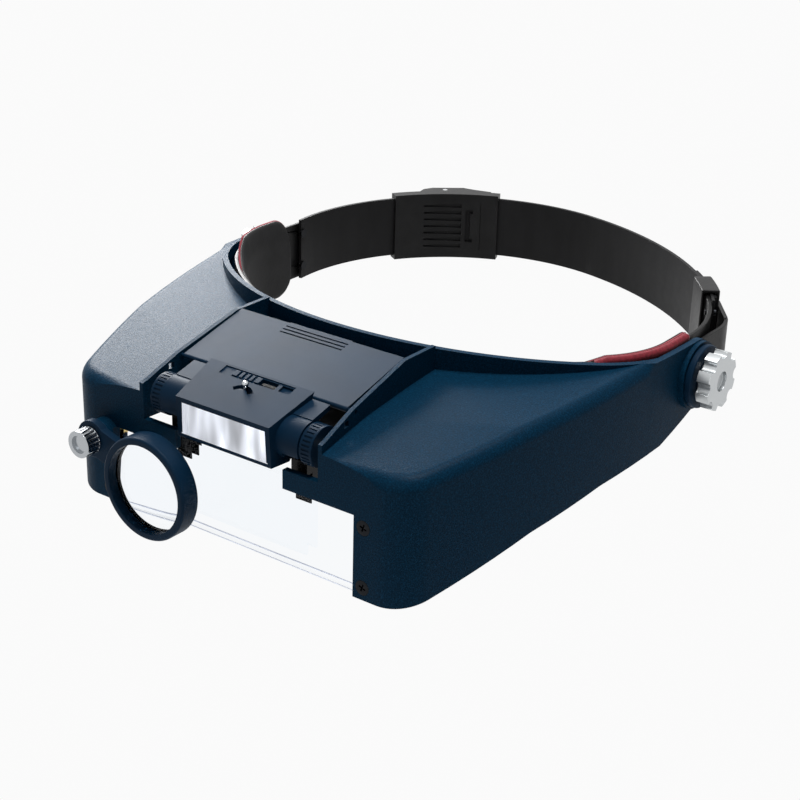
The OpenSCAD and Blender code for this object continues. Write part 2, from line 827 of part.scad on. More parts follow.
// roof line of the lamp housing in Y and Z, lowered by d
module lamp_side(d) {
  polygon([[deck_y + 0.6 + d, lamp_top_rear - d], [lamp_front_y + d, lamp_top_front - d],
    [lamp_front_y + 0.9 + d, lamp_floor + d], [axle_y - 1, lamp_floor + d],
    [axle_y + 3.5 + d, axle_z - 1], [deck_y - 0.3 + d, 3.5], [deck_y - 0.3 + d, lamp_top_rear - 1.6 - d]]);
}

module lamp_plan(d) {
  rear = lamp_half + 2.6;
  polygon([[-rear + d, deck_y + 4], [rear - d, deck_y + 4], [lamp_half - d, lamp_front_y - 1],
    [-lamp_half + d, lamp_front_y - 1]]);
}

// rolled front edge that follows the axle
module roll_plan(r) {
  translate([axle_y, axle_z]) circle(r = r);
}

module light_head_shell() {
  inner = lamp_half - lamp_wall;
  color("#16293f") difference() {
    union() {
      // rolled skin from the seam round to the front
      intersection() {
        union() {
          along_x(-wheel_in + 0.3, wheel_in - 0.3) difference() {
            roll_plan(roll_r);
            roll_plan(roll_r - 1.7);
            translate([axle_y - 20, axle_z - 23.2]) square([40, 20]);
            translate([axle_y + 0.5, axle_z - 20]) square([20, 22]);
            translate([axle_y + 1, -far/2]) square([20, far/2 + 3]);
          }
          on_deck() box([-wheel_in + 0.3, -9, -1.7], [wheel_in - 0.3, -0.1, -0.02]);
        }
        box([-60, -far/2, -30], [60, deck_y - 0.2, 30]);
      }
      // lamp housing
      intersection() {
        along_x(-40, 40) lamp_side(0);
        along_z(-30, 30) lamp_plan(0);
      }
      // bearing ribs on the axle
      both() bar_x(roll_r - 0.2, lamp_half - 0.6, lamp_half + 2.2, axle_y, axle_z);
    }
    // cavity of the lamp housing in front of the axle
    intersection() {
      along_x(-inner, inner) lamp_side(lamp_wall);
      box([-30, -far/2, -30], [30, axle_y - axle_r + 0.3, 30]);
    }
    // cavity above and behind the axle tube for the switch body
    intersection() {
      along_x(-inner, inner) difference() {
        lamp_side(lamp_wall);
        translate([axle_y, axle_z]) circle(r = axle_r + 1.25);
      }
      box([-30, axle_y - axle_r, axle_z + 1], [30, deck_y + 6, 20]);
    }
    // open bottom of the lamp, closed by its floor plate
    box([-inner, lamp_front_y + 3, lamp_floor - 1],
      [inner, axle_y - axle_r - 1.1, lamp_floor + lamp_wall + 0.5]);
    // front opening with a groove for the lamp window
    box([-lamp_half + 1.7, lamp_front_y - 2, lamp_floor + 1.5], [lamp_half - 1.7, lamp_front_y + 4, 2.8]);
    box([-lamp_half + 1.2, lamp_front_y + 0.8, lamp_floor + 1.1],
      [lamp_half - 1.2, lamp_front_y + 1.7, 3.1]);
    // switch slot and its label recess in the top
    lamp_top() {
      box([-14.2, 15.4, -0.35], [14.8, 19.3, 3]);
      box([-9.6, 15.9, -4], [8.4, 18.8, 3]);
      box([9.9, 15.9, -1.2], [14.4, 18.8, 3]);
    }
    aim_slot();
    // axle bore
    bar_x(axle_r + run_gap, -40, 40, axle_y, axle_z);
  }
  // stub on which the reflector turns
  intersection() {
    translate([swivel[0], swivel[1], 2.9]) cylinder(r = 1, h = 10);
    along_x(-40, 40) lamp_side(0.5);
  }
}

// frame on the sloping top of the lamp: Y up the slope from its front edge
module lamp_top() {
  translate([0, lamp_front_y, lamp_top_front])
    rotate([atan2(lamp_top_rear - lamp_top_front, deck_y + 0.6 - lamp_front_y), 0, 0]) children();
}

// curved slot for the aiming pin, round the swivel of the reflector
module aim_slot() {
  translate([0, 0, 2.9]) linear_extrude(12) ring_part(swivel, aim_r - 0.9, aim_r + 0.9, 36, 144);
}

module lamp_floor_plate() {
  color("#101010") box([-lamp_half + lamp_wall + 0.1, lamp_front_y + 3.1, lamp_floor + 0.1],
    [lamp_half - lamp_wall - 0.1, axle_y - axle_r - 1.2, lamp_floor + lamp_wall - 0.2]);
}

module lamp_window() {
  color("#e6ecf0", 0.4) union() {
    box([-lamp_half + 1.3, lamp_front_y + 0.85, lamp_floor + 1.2],
      [lamp_half - 1.3, lamp_front_y + 1.6, 3]);
    // fine flutes at both ends
    for (s = [-1, 1], i = [0:2]) translate([s*(lamp_half - 2.6 - i*0.8), lamp_front_y + 0.95, lamp_floor + 1.9])
      cylinder(r = 0.3, h = 4.3 - lamp_floor - 4, $fn = 24);
  }
}

module lamp_switch_body() {
  color("#0c0c0c") lamp_top() difference() {
    box([-10.4, 15.2, -4.6], [9.2, 18.9, -2.1]);
    box([-6.6, 16.4, -3.6], [5.6, 17.8, 3]);
  }
}

// the slider rests at the wearer's right end of its slot
module switch_slider() {
  color("#0f1a29") lamp_top() {
    difference() {
      box([-9.3, 16.05, -1.5], [1.9, 18.65, 0.1]);
      for (i = [0:3]) box([-7.4 + i*2.1, 15, -0.5], [-6.4 + i*2.1, 20, 1]);
    }
    box([-4.6, 16.6, -3.4], [-2.8, 17.6, -1.3]);
  }
}

// plan of the reflector: a flat face and a back that clears the axle when it turns
module reflector_plan() {
  reach = 9.2;
  function back(x) = (0.45 + x*sin(aim_half))/cos(aim_half);
  polygon([[-reach, -face_off], [reach, -face_off], [reach, -back(reach)], [1, -back(1)],
    [-1, -back(1)], [-reach, -back(reach)]]);
}

module lamp_reflector() {
  bowl_r = 3.9;
  bowl_d = 1;
  ball = (bowl_r*bowl_r + bowl_d*bowl_d)/(2*bowl_d);
  color("#d8dade") translate([swivel[0], swivel[1], 0]) difference() {
    union() {
      along_z(lamp_floor + 2.4, 2.5) reflector_plan();
      // plate over the axle tube, with the bore for the swivel stub
      box([-3.2, -face_off, 2.4], [3.2, aim_r + 1.2, 2.8]);
      translate([0, 0, 2.79]) cylinder(r = 2, h = 0.9);
    }
    for (s = [-1, 1]) translate([s*led_x, 0, lamp_mid]) {
      translate([0, -face_off + bowl_d - ball, 0]) sphere(r = ball);
      bar_y(led_r + 0.05, -face_off - 1, 0);
    }
    translate([0, 0, 2.88]) cylinder(r = 1 + run_gap, h = 10);
  }
}

// each diode sits in its bore, with its base cut to the slope of the reflector's back
module lamp_diodes() {
  tip = 4.6;
  color("#f2f4e8", 0.6) translate([swivel[0], swivel[1], 0]) intersection() {
    for (s = [-1, 1]) translate([s*led_x, 0, lamp_mid]) rotate([90, 0, 0]) rotate_extrude()
      polygon([[0, 0], [led_r, 0], [led_r, tip - 1], [led_r - 0.35, tip - 0.35], [led_r - 1.1, tip], [0, tip]]);
    along_z(-far/2, far/2) polygon([[-12, -10], [12, -10],
      for (x = [9.2, 1, -1, -9.2]) [x, -(0.45 + abs(x)*sin(aim_half))/cos(aim_half)]]);
  }
}

// chrome pin that turns the reflector
module aim_pin() {
  color("#d5d8dc") translate([swivel[0], swivel[1] + aim_r, 2.81]) {
    cylinder(r = 0.75, h = 6.8);
    translate([0, 0, 6.9]) sphere(r = 1.15);
  }
}

module flip_axle() {
  color("#8f9296") bar_x(axle_r, -axle_end + 0.2, axle_end - 0.2, axle_y, axle_z);
}

module finger_wheels() {
  color("#131f30") for (s = [-1, 1]) difference() {
    bar_x(wheel_r, s > 0 ? wheel_in : -wheel_out, s > 0 ? wheel_out : -wheel_in, axle_y, axle_z);
    bar_x(axle_r + 0.01, -40, 40, axle_y, axle_z);
    for (a = [0:12:348]) translate([s*(wheel_in + wheel_out)/2, axle_y, axle_z]) rotate([a, 0, 0])
      translate([0, 0, wheel_r]) cube([3, 0.6, 0.7], center = true);
  }
}

module lens_carrier() {
  color("#0b0b0b") for (s = [-1, 1]) difference() {
    union() {
      bar_x(4, s > 0 ? lamp_half + 2.8 : -wheel_in + 0.3, s > 0 ? wheel_in - 0.3 : -lamp_half - 2.8,
        axle_y, axle_z);
      mirror([s > 0 ? 0 : 1, 0, 0]) {
        box([lamp_half + 2.8, axle_y - 2.4, axle_z - 10.4], [wheel_in - 0.3, axle_y + 1.4, axle_z - 2]);
        box([lamp_half + 2.8, carrier_y - 2.4, axle_z - 10.4], [wheel_in - 0.3, carrier_y + 3.9, axle_z - 7.6]);
        box([lamp_half + 2.8, carrier_y, -22], [wheel_in - 0.3, carrier_y + 3.9, axle_z - 8]);
      }
    }
    bar_x(axle_r + 0.01, -40, 40, axle_y, axle_z);
    // see-through window in each arm
    mirror([s > 0 ? 0 : 1, 0, 0])
      box([lamp_half + 4.2, axle_y - 6, -7.2], [lamp_half + 7.6, axle_y + 6, -5.2]);
    // pocket for the top of the lens
    box([-30.1, carrier_y + 0.2, -40], [30.1, carrier_y + 0.2 + inner_lens_t + 0.04, -14.9]);
  }
}

module inner_lens() {
  color("#e8eef2", 0.35) intersection() {
    union() {
      box([-30, carrier_y + 0.2, -15 - inner_lens_h + 4], [30, carrier_y + 0.2 + inner_lens_t, -15]);
      for (s = [-1, 1]) bar_y(4, carrier_y + 0.2, carrier_y + 0.2 + inner_lens_t, s*26, -11 - inner_lens_h + 4);
      box([-26, carrier_y + 0.2, -15 - inner_lens_h], [26, carrier_y + 0.2 + inner_lens_t, -15]);
    }
    translate([0, carrier_y + 0.2 + inner_lens_t - inner_curve, -15 - inner_lens_h/2])
      sphere(r = inner_curve, $fn = 720);
  }
}

module loupe_frame() {
  a = atan2(ring_z - loupe_z, ring_x - loupe_x);
  edge = 0.8;
  color("#14263a") difference() {
    union() {
      // ring with a softened front rim
      translate([ring_x, ring_front + ring_depth, ring_z]) rotate([90, 0, 0]) rotate_extrude($fn = 180)
        polygon([[loupe_hole_r - 1, 0], [loupe_r, 0], [loupe_r, ring_depth - edge],
          [loupe_r - edge/3, ring_depth - edge/3], [loupe_r - edge, ring_depth],
          [loupe_hole_r - 1, ring_depth]]);
      // arm and its eye
      translate([loupe_x, arm_y + arm_t, loupe_z]) rotate([90, -a, 0]) linear_extrude(arm_t) union() {
        circle(r = arm_half + 0.9, $fn = 72);
        translate([0, -arm_half]) square([loupe_span - loupe_hole_r - 1.2, 2*arm_half]);
      }
    }
    bar_y(stem_r + run_gap, arm_y - 1, arm_y + arm_t + 1, loupe_x, loupe_z);
    // lens seat with a front lip
    bar_y(loupe_hole_r, ring_front - 1, ring_front + ring_depth + 1, ring_x, ring_z);
    bar_y(loupe_hole_r + 0.9, ring_front + 3.4, ring_front + ring_depth + 1, ring_x, ring_z);
  }
}

module loupe_lens() {
  color("#e8eef2", 0.35) intersection() {
    bar_y(loupe_hole_r + 0.8, ring_front, ring_front + ring_depth, ring_x, ring_z);
    translate([ring_x, ring_front + 4 + 46, ring_z]) sphere(r = 48.9, $fn = 360);
    translate([ring_x, ring_front + 4 - 46, ring_z]) sphere(r = 48.9, $fn = 360);
  }
}

module loupe_retainer() {
  color("#101c2c") difference() {
    bar_y(loupe_hole_r + 0.8, ring_front + 4.62, ring_front + 6.2, ring_x, ring_z);
    bar_y(loupe_hole_r, ring_front, ring_front + ring_depth + 2, ring_x, ring_z);
  }
}

module thumb_screw() {
  color("#d0d3d8") difference() {
    union() {
      bar_y(thumb_r, thumb_y - 5.6, thumb_y, loupe_x, loupe_z);
      bar_y(stem_r, thumb_y - 1, front_in + 4, loupe_x, loupe_z);
    }
    // grip flutes round the rim and a dished face
    for (a = [0:18:342]) translate([loupe_x, thumb_y - 2.8, loupe_z]) rotate([0, a, 0])
      translate([thumb_r + 0.3, 0, 0]) rotate([90, 0, 0]) cylinder(r = 0.6, h = 4.6, center = true, $fn = 24);
    bar_y(thumb_r - 1.6, thumb_y - 6, thumb_y - 4.6, loupe_x, loupe_z);
  }
}

module loupe_nut() {
  color("#9a9da2") difference() {
    bar_y(3.2, front_in + 2.5, front_in + 4.6, loupe_x, loupe_z);
    bar_y(stem_r + run_gap, front_in, front_in + 9, loupe_x, loupe_z);
  }
}

module knob() {
  color("#cfd3d8") difference() {
    union() {
      bar_x(knob_r*0.62, knob_x0, knob_x0 + 2);
      difference() {
        bar_x(knob_r, knob_x0 + 1.2, knob_x1);
        for (i = [0:knob_lobes - 1]) rotate([i*360/knob_lobes, 0, 0])
          bar_x(knob_r*0.21, knob_x0, knob_x1 + 1, knob_r*1.02, 0);
      }
    }
    bar_x(bolt_r + 0.01, 60, knob_x1 - 1.5);
    // dished centre
    bar_x(knob_r*0.34, knob_x1 - 1.6, knob_x1 + 1);
  }
}

module bolt() {
  color("#a4a8ad") bar_x(bolt_r, band_half - band_t - 1.8, knob_x1 - 1.6);
}

module knob_left() knob();
module knob_right() mirror([1, 0, 0]) knob();
module bolt_left() bolt();
module bolt_right() mirror([1, 0, 0]) bolt();

forehead_band();
forehead_pad();
pad_lining();
temple_arms();
temple_rivets();
rear_strap_left();
rear_strap_right();
strap_keeper();
buckle_body();
buckle_lever();
buckle_pin();
temple_nuts();
temple_washers();
visor_shell();
ear_rings();
main_lens();
lens_screws();
lens_retainers();
battery_tray();
battery_cells();
battery_contacts();
battery_cover();
light_head_shell();
lamp_floor_plate();
lamp_window();
lamp_switch_body();
switch_slider();
lamp_reflector();
lamp_diodes();
aim_pin();
flip_axle();
finger_wheels();
lens_carrier();
inner_lens();
loupe_frame();
loupe_lens();
loupe_retainer();
thumb_screw();
loupe_nut();
knob_left();
knob_right();
bolt_left();
bolt_right();
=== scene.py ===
"""Looks of the headband magnifier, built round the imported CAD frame.

Row frame, in metres: +X towards the wearer's left, -Y forward, +Z up, and the origin in the
middle of the tilt axis. Lengths below are in millimetres and pass through mm(), apart from those
of the lights and the floor, which are in metres.
"""

import math

import bmesh
import bpy
from mathutils import Matrix, Vector


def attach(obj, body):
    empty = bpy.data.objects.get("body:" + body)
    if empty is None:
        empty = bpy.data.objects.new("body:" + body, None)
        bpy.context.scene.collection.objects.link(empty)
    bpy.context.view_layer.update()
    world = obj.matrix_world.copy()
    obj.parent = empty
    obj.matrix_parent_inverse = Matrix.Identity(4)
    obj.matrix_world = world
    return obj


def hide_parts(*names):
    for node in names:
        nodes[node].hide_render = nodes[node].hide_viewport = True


MM = 0.001


def mm(*values):
    """Millimetres to metres, as a number or a Vector."""
    if len(values) == 1:
        return values[0] * MM
    return Vector([v * MM for v in values])


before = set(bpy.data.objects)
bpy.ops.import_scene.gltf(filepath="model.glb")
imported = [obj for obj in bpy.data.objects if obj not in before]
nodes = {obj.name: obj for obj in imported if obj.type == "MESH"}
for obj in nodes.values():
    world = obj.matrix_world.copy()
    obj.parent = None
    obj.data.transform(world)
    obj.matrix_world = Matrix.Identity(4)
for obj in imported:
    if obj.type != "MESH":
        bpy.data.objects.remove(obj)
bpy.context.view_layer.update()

# sizes shared with the part

# outline of the visor in plan: wide side arcs, round front corners and a flat front
WALL = 2.3
VISOR_HALF = 94.5
VISOR_REACH = 130.0
SIDE_R = 340.0
SIDE_X = SIDE_R - VISOR_HALF
CORNER_R = 14.0
CORNER_Y = CORNER_R - VISOR_REACH
CORNER_X = math.sqrt((SIDE_R - CORNER_R) ** 2 - CORNER_Y ** 2) - SIDE_X
RECESS_HALF = 40.5

# roof of the visor: height at the origin, fall to the sides, rise to the rear
ROOF_FRONT = (25.2, 0.04, 0.18)
ROOF_REAR = (15.2, 0.0, 0.1)
EAR_TOP = 12.1

# forehead band in plan: straight temples, side arcs and one wide front arc
BAND_T = 1.4
BAND_TOP = 12.0
WASHER_ROOM = 0.6  # washer and its clearance between the ear and the temple arm
BAND_HALF = VISOR_HALF - WALL - WASHER_ROOM - BAND_T
BAND_SIDE_R = 40.0
BAND_SIDE_Y = -10.0
BAND_FRONT = 71.6

# forehead pad and its lining
PAD_T = 3.2
PAD_LOW = -15.0
PAD_REAR = 3.0
PAD_ROUND = 8.0
PAD_BROW = 10.4  # top over the brow
PAD_TOP = 17.0  # top at the temples
PAD_RISE = (-44.0, -28.0)  # where the top rises from one to the other
PAD_MID = 15.25  # height of the rolled plane that trims the top, in the middle
PAD_ROLL = 0.0206  # its fall per mm towards the wearer's left
LINING_T = 0.5
LINING_INSET = 0.4

# main lens
WINDOW_HALF = 50.2
LENS_T = 4.2
LENS_GAP = 0.15
LENS_FRONT = -VISOR_REACH + WALL + LENS_GAP
LENS_BOTTOM = -43.8


# materials


class Shader:
    """A material whose colour, roughness and bump are built from object-space noise."""

    def __init__(self, name, base, roughness=0.5, **principled):
        self.mat = bpy.data.materials.new(name)
        self.mat.use_nodes = True
        self.tree = self.mat.node_tree
        self.bsdf = self.tree.nodes["Principled BSDF"]
        self.bsdf.inputs["Base Color"].default_value = (*base, 1.0)
        self.bsdf.inputs["Roughness"].default_value = roughness
        for key, value in principled.items():
            self.bsdf.inputs[key.replace("_", " ")].default_value = value
        self.coord = self.tree.nodes.new("ShaderNodeTexCoord").outputs["Object"]
        self.base = base

    def node(self, kind, **inputs):
        """A new node with values for its named inputs."""
        n = self.tree.nodes.new(kind)
        for key, value in inputs.items():
            n.inputs[key.replace("_", " ")].default_value = value
        return n

    def link(self, a, b):
        self.tree.links.new(a, b)

    def noise(self, scale, detail=2.0, rough=0.5, stretch=(1, 1, 1)):
        """Noise in object space; scale is in features per metre."""
        m = self.node("ShaderNodeMapping", Scale=stretch)
        self.link(self.coord, m.inputs["Vector"])
        n = self.node("ShaderNodeTexNoise", Scale=scale, Detail=detail, Roughness=rough)
        self.link(m.outputs["Vector"], n.inputs["Vector"])
        return n.outputs["Fac"]

    def ramp(self, source, low, high):
        """Colour between two stops, each a place on the source and a colour."""
        r = self.node("ShaderNodeValToRGB")
        for element, (place, colour) in zip(r.color_ramp.elements, (low, high)):
            element.position = place
            element.color = (*colour, 1.0)
        self.link(source, r.inputs["Fac"])
        return r.outputs["Color"]

    def tint(self, source, low, high, start=0.35, end=0.65):
        """Base colour that varies between two tints with a noise."""
        dark = tuple(c * low for c in self.base)
        light = tuple(min(1.0, c * high) for c in self.base)
        colour = self.ramp(source, (start, dark), (end, light))
        self.link(colour, self.bsdf.inputs["Base Color"])
        return self

    def vary_roughness(self, source, low, high):
        m = self.node("ShaderNodeMapRange", To_Min=low, To_Max=high)
        self.link(source, m.inputs["Value"])
        self.link(m.outputs["Result"], self.bsdf.inputs["Roughness"])
        return self

    def bump(self, source, depth, strength):
        """Relief of a depth in millimetres."""
        b = self.node("ShaderNodeBump", Strength=strength, Distance=mm(depth))
        self.link(source, b.inputs["Height"])
        self.link(b.outputs["Normal"], self.bsdf.inputs["Normal"])
        return self


def textured_navy():
    """Spark-eroded navy plastic with a fine sparkling grain."""
    s = Shader("visor_navy_textured", (0.0018, 0.02, 0.044), 0.42, Specular_IOR_Level=0.03)
    s.tint(s.noise(2200, detail=1.0), 0.8, 1.5, 0.42, 0.72)
    s.vary_roughness(s.noise(900), 0.32, 0.46)
    return s.bump(s.noise(1900, rough=0.7), 0.09, 0.9).mat


def smooth_navy(name="navy_satin", rough=0.46):
    s = Shader(name, (0.002, 0.014, 0.033), rough, Specular_IOR_Level=0.06)
    s.tint(s.noise(60), 0.9, 1.12)
    s.vary_roughness(s.noise(400), rough - 0.04, rough + 0.05)
    return s.bump(s.noise(700), 0.006, 0.4).mat


def black_plastic(name, value=0.005, rough=0.4):
    s = Shader(name, (value, value, value * 1.04), rough, Specular_IOR_Level=0.13)
    s.tint(s.noise(120), 0.85, 1.25)
    s.vary_roughness(s.noise(500), rough - 0.06, rough + 0.08)
    return s.bump(s.noise(1200, detail=3.0), 0.012, 0.5).mat


def strap_plastic():
    s = Shader("strap_plastic", (0.006, 0.006, 0.0065), 0.46, Specular_IOR_Level=0.14)
    s.tint(s.noise(160, detail=3.0, stretch=(1, 1, 0.25)), 0.85, 1.2)
    s.vary_roughness(s.noise(300), 0.44, 0.58)
    return s.bump(s.noise(1600, detail=3.0), 0.015, 0.5).mat


def foam_red():
    s = Shader("pad_red_cloth", (0.15, 0.012, 0.02), 0.8, Specular_IOR_Level=0.2,
               Sheen_Weight=0.06, Sheen_Roughness=0.5)
    s.tint(s.noise(900, detail=3.0), 0.75, 1.3)
    return s.bump(s.noise(2200, detail=3.0), 0.08, 0.6).mat


def lining_black():
    """Leatherette with a fine cell pattern."""
    s = Shader("lining_leatherette", (0.006, 0.006, 0.0065), 0.6, Specular_IOR_Level=0.2)
    cells = s.node("ShaderNodeTexVoronoi", Scale=900)
    s.link(s.coord, cells.inputs["Vector"])
    s.tint(s.noise(200), 0.85, 1.3)
    return s.bump(cells.outputs["Distance"], 0.05, 0.5).mat


def chrome(name="chrome", rough=0.16, base=(0.42, 0.44, 0.46)):
    s = Shader(name, base, rough, Metallic=1.0)
    s.vary_roughness(s.noise(250, detail=3.0), rough * 0.8, rough * 1.4)
    return s.bump(s.noise(900), 0.003, 0.3).mat


def metal(name, base, rough):
    """Metal with fine marks along X."""
    s = Shader(name, base, rough, Metallic=1.0)
    s.vary_roughness(s.noise(600, detail=3.0, stretch=(0.2, 1, 1)), rough * 0.8, rough * 1.3)
    return s.bump(s.noise(2000, stretch=(0.1, 1, 1)), 0.004, 0.4).mat


def clear(name, ior, rough=0.02):
    """Clear plastic; a low index keeps the thin window free of dark edges."""
    s = Shader(name, (0.97, 0.985, 1.0), rough, Transmission_Weight=1.0, IOR=ior)
    s.vary_roughness(s.noise(80), rough * 0.5, rough * 1.5)
    return s.mat


def frosted_painted_glow():
    """Fluted clear plastic of the lamp window, with painted light bars: streaks of noise lighten and
    darken its colour and glow faintly, in place of the light that its flutes throw.
    """
    s = Shader("lamp_window_painted_glow", (0.9, 0.92, 0.96), 0.22, Transmission_Weight=0.25, IOR=1.3,
               Emission_Strength=0.75)
    # painted light: the streaks in the colour stand in for light bars and reflections
    painted_light_bars = s.noise(130, rough=0.55, stretch=(1, 0.3, 0.22))
    s.tint(painted_light_bars, 0.6, 1.05, 0.36, 0.62)
    # painted glow: the window glows along the same streaks, though no lamp lights it from inside
    painted_bar_glow = s.ramp(painted_light_bars, (0.36, (0.13, 0.135, 0.15)), (0.64, (0.5, 0.52, 0.57)))
    s.link(painted_bar_glow, s.bsdf.inputs["Emission Color"])
    return s.mat


def diode_resin():
    s = Shader("diode_resin", (0.95, 0.95, 0.88), 0.12, Transmission_Weight=0.6, IOR=1.54)
    return s.tint(s.noise(900), 0.95, 1.0).mat


def silvered():
    s = Shader("reflector_silver", (0.85, 0.87, 0.9), 0.3, Metallic=1.0)
    s.vary_roughness(s.noise(300), 0.14, 0.3)
    return s.bump(s.noise(500), 0.02, 0.4).mat


def cell_wrap():
    s = Shader("cell_wrap", (0.55, 0.42, 0.14), 0.35, Metallic=0.6)
    return s.tint(s.noise(200), 0.9, 1.1).mat


def painted_edge_glow():
    """Painted highlight for the lower edge of the main lens: a light grey that glows faintly, in
    place of the light that the edge gathers.
    """
    # painted highlight: light grey colour and a faint glow
    s = Shader("lens_edge_painted_glow", (0.5, 0.53, 0.6), 0.3,
               Emission_Color=(0.4, 0.42, 0.5, 1), Emission_Strength=0.6)
    return s.tint(s.noise(60), 0.6, 1.1).mat


MATS = {
    "textured": textured_navy(),
    "navy": smooth_navy(),
    "navy_deep": smooth_navy("navy_deep", 0.44),
    "black": black_plastic("black_abs"),
    "black_gloss": black_plastic("black_gloss", rough=0.24),
    "strap": strap_plastic(),
    "buckle": black_plastic("buckle_abs", 0.008, 0.36),
    "red": foam_red(),
    "lining": lining_black(),
    "chrome": chrome(),
    "chrome_knob": chrome("chrome_knob", 0.28, (0.5, 0.52, 0.53)),
    "steel": metal("steel", (0.55, 0.56, 0.57), 0.32),
    "dark_steel": metal("black_oxide", (0.014, 0.015, 0.017), 0.3),
    "brass": metal("brass", (0.62, 0.47, 0.2), 0.34),
    "lens": clear("acrylic_lens", 1.06),
    "flip_lens": clear("flip_lens_acrylic", 1.04, rough=0.04),
    "loupe_glass": clear("loupe_acrylic", 1.12),
    # lamp window with painted light bars and a painted glow
    "window": frosted_painted_glow(),
    "diode": diode_resin(),
    "silver": silvered(),
    "cell": cell_wrap(),
    # painted highlight and glow for the strips along the lens edge
    "painted_glow_line": painted_edge_glow(),
}

FINISH = {
    "forehead_band": "black",
    "forehead_pad": "red",
    "pad_lining": "lining",
    "temple_arms": "black",
    "temple_rivets": "dark_steel",
    "rear_strap_left": "strap",
    "rear_strap_right": "strap",
    "strap_keeper": "buckle",
    "buckle_body": "buckle",
    "buckle_lever": "buckle",
    "buckle_pin": "steel",
    "temple_nuts": "dark_steel",
    "temple_washers": "black",
    "visor_shell": "textured",
    "ear_rings": "navy",
    "main_lens": "lens",
    "lens_screws": "dark_steel",
    "lens_retainers": "navy_deep",
    "battery_tray": "black",
    "battery_cells": "cell",
    "battery_contacts": "steel",
    "battery_cover": "navy",
    "light_head_shell": "navy",
    "lamp_floor_plate": "black",
    "lamp_window": "window",
    "lamp_switch_body": "black_gloss",
    "switch_slider": "navy_deep",
    "lamp_reflector": "silver",
    "lamp_diodes": "diode",
    "aim_pin": "chrome",
    "flip_axle": "steel",
    "finger_wheels": "navy",
    "lens_carrier": "black_gloss",
    "inner_lens": "flip_lens",
    "loupe_frame": "navy_deep",
    "loupe_lens": "loupe_glass",
    "loupe_retainer": "black",
    "thumb_screw": "chrome",
    "loupe_nut": "brass",
    "knob_left": "chrome_knob",
    "knob_right": "chrome_knob",
    "bolt_left": "steel",
    "bolt_right": "steel",
}

# edge rounding of the moulded and turned pieces, in mm
SOFT_EDGE = {
    "battery_cover": 0.45,
    "light_head_shell": 0.5,
    "finger_wheels": 0.15,
    "loupe_frame": 0.3,
    "knob_left": 0.45,
    "knob_right": 0.45,
    "ear_rings": 0.5,
    "temple_arms": 0.35,
    "rear_strap_left": 0.3,
    "rear_strap_right": 0.3,
    "strap_keeper": 0.5,
    "buckle_body": 0.35,
    "buckle_lever": 0.5,
    "forehead_band": 0.35,
    "thumb_screw": 0.25,
    "lens_screws": 0.15,
    "switch_slider": 0.12,
    "lens_carrier": 0.3,
    "battery_tray": 0.2,
}
VISOR_EDGE = 0.45
EDGE_SEGMENTS = 3
EDGE_ANGLE = math.radians(32)  # a sharper edge than this is rounded
WELD_GAP = 0.002


def dress(obj, key):
    """Gives an object one material on every slot."""
    if not obj.material_slots:
        obj.data.materials.append(MATS[key])
    for slot in obj.material_slots:
        slot.material = MATS[key]


def round_edges(obj, width):
    """Rounds the sharp edges without touching the mesh, and keeps the large faces level."""
    bevel = obj.modifiers.new("bevel", "BEVEL")
    bevel.width = mm(width)
    bevel.segments = EDGE_SEGMENTS
    bevel.limit_method = "ANGLE"
    bevel.angle_limit = EDGE_ANGLE
    for face in obj.data.polygons:
        face.use_smooth = True
    weighted = obj.modifiers.new("weighted", "WEIGHTED_NORMAL")
    weighted.mode = "FACE_AREA"
    weighted.weight = 100
    weighted.thresh = 0.01


for node_name, key in FINISH.items():
    if node_name in nodes:
        dress(nodes[node_name], key)
for node_name, width in SOFT_EDGE.items():
    if node_name in nodes:
        weld = nodes[node_name].modifiers.new("weld", "WELD")
        weld.merge_threshold = mm(WELD_GAP)
        round_edges(nodes[node_name], width)


# visor shell with a rounded ridge

RIDGE_WIDTH = 4.2  # of the rounding, along the roof and down the wall
RIDGE_SEGMENTS = 7
RIDGE_REAR = -24.0  # behind this the roof is too narrow for the rounding
RECESS_FRONT = -120.0  # in front of this the recess cuts the ridge
ROOF_NEAR = 0.25
OUTLINE_NEAR = 0.3
SHARP = 0.35  # least angle of a ridge edge, in radians
FLAT = math.radians(0.4)  # faces that differ by less are joined first


def roof_height(x, y):
    """Height of the roof's outer face, which is level next to the ears."""
    slopes = [top - fall * abs(x) + rise * y for top, fall, rise in (ROOF_FRONT, ROOF_REAR)]
    return min(*slopes, EAR_TOP)


def outline_depth(x, y):
    """How far a place in plan lies inside the visor's outline."""
    if abs(x) > CORNER_X and y < CORNER_Y:
        return CORNER_R - math.hypot(abs(x) - CORNER_X, y - CORNER_Y)
    return min(SIDE_R - math.hypot(abs(x) + SIDE_X, y), y + VISOR_REACH)


def on_ridge(edge):
    """True for the edges where the roof meets the side walls and the front face."""
    if len(edge.link_faces) != 2 or edge.calc_face_angle(0) <= SHARP:
        return False
    for x, y, z in (vertex.co / MM for vertex in edge.verts):
        if abs(z - roof_height(x, y)) > ROOF_NEAR or outline_depth(x, y) > OUTLINE_NEAR:
            return False
        if y > RIDGE_REAR or (abs(x) < RECESS_HALF and y < RECESS_FRONT):
            return False
    return True


